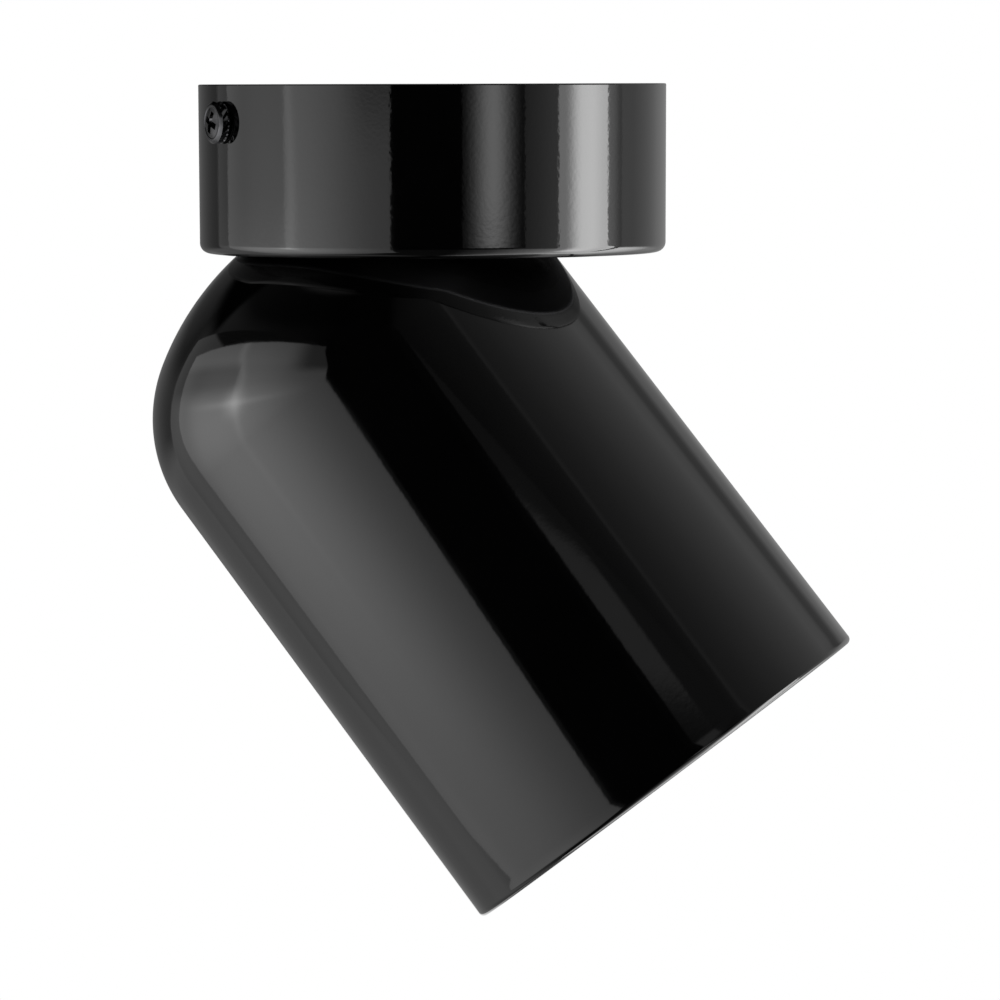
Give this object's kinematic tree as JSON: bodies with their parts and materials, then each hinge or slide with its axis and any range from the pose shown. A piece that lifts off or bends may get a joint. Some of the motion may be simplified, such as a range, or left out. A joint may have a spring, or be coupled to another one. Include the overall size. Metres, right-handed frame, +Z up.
{
  "type": "ceiling spotlight",
  "caption": "Surface-mounted ceiling spotlight: a round canopy and a domed cylindrical head that nests in its dished underside, pans and tilts, with a twist-lock reflector lamp.",
  "frame": {"origin": "centre of the ceiling plane, at the top of the mounting plate and the canopy's rim", "axes": "+Z up into the ceiling; +X is the way the head leans; +Y completes the right-handed frame, away from the picture's camera"},
  "size_m": [0.1349, 0.09, 0.1604],
  "materials": {
    "gloss_black": "die-cast, painted gloss black",
    "black_hardware": "black nickel, glossy",
    "zinc_steel": "bright zinc plate, satin",
    "zinc_screws": "bright zinc plate",
    "brass": "bare, turned",
    "stem_steel": "zinc plate, threaded",
    "nylon": "natural nylon",
    "steatite": "unglazed, fine-grained",
    "lamp_white": "moulded, satin",
    "lens": "clear, prismatic inside",
    "matte_black": "spun, painted matte black",
    "core_insulation": "silicone insulation"
  },
  "bodies": {
    "base": {"ceiling_plate": "zinc_steel", "canopy": "gloss_black", "thumbscrews": "black_hardware", "terminal_block": "nylon", "terminal_clamp_screws": "brass", "terminal_fixing_screws": "zinc_screws", "earth_washer": "zinc_screws", "earth_screw": "brass", "upper_nylon_washer": "nylon", "lower_nylon_washer": "nylon", "terminal_cores": "core_insulation"},
    "swivel": {"stem": "stem_steel", "pan_stop_washer": "zinc_screws", "spring_washer": "zinc_screws", "pan_nut": "zinc_screws", "yoke_nut_upper": "zinc_screws", "yoke_nut_lower": "zinc_screws", "yoke": "zinc_steel", "stem_cores": "core_insulation"},
    "head": {"head_shell": "gloss_black", "lamp_carrier": "zinc_steel", "lampholder": "steatite", "holder_bracket": "zinc_steel", "holder_screws": "zinc_screws", "bracket_screws": "zinc_screws", "carrier_screws": "zinc_screws", "pivot_screws": "zinc_screws", "friction_washers": "nylon", "pivot_nuts": "zinc_screws", "lamp_body": "lamp_white", "lamp_lens": "lens", "lamp_pins": "brass", "glare_ring": "matte_black", "holder_cores": "core_insulation"}
  },
  "joints": [
    {"name": "pan", "type": "hinge", "parent": "base", "child": "swivel", "pos_m": [0, 0, -0.0124], "axis": [0, 0, 1], "range_deg": [-168, 168], "deforming": ["terminal_cores"]},
    {"name": "tilt", "type": "hinge", "parent": "swivel", "child": "head", "pos_m": [0, 0, -0.0742], "axis": [0, -1, 0], "range_deg": [-37.4, 2.6], "deforming": ["holder_cores"]}
  ]
}
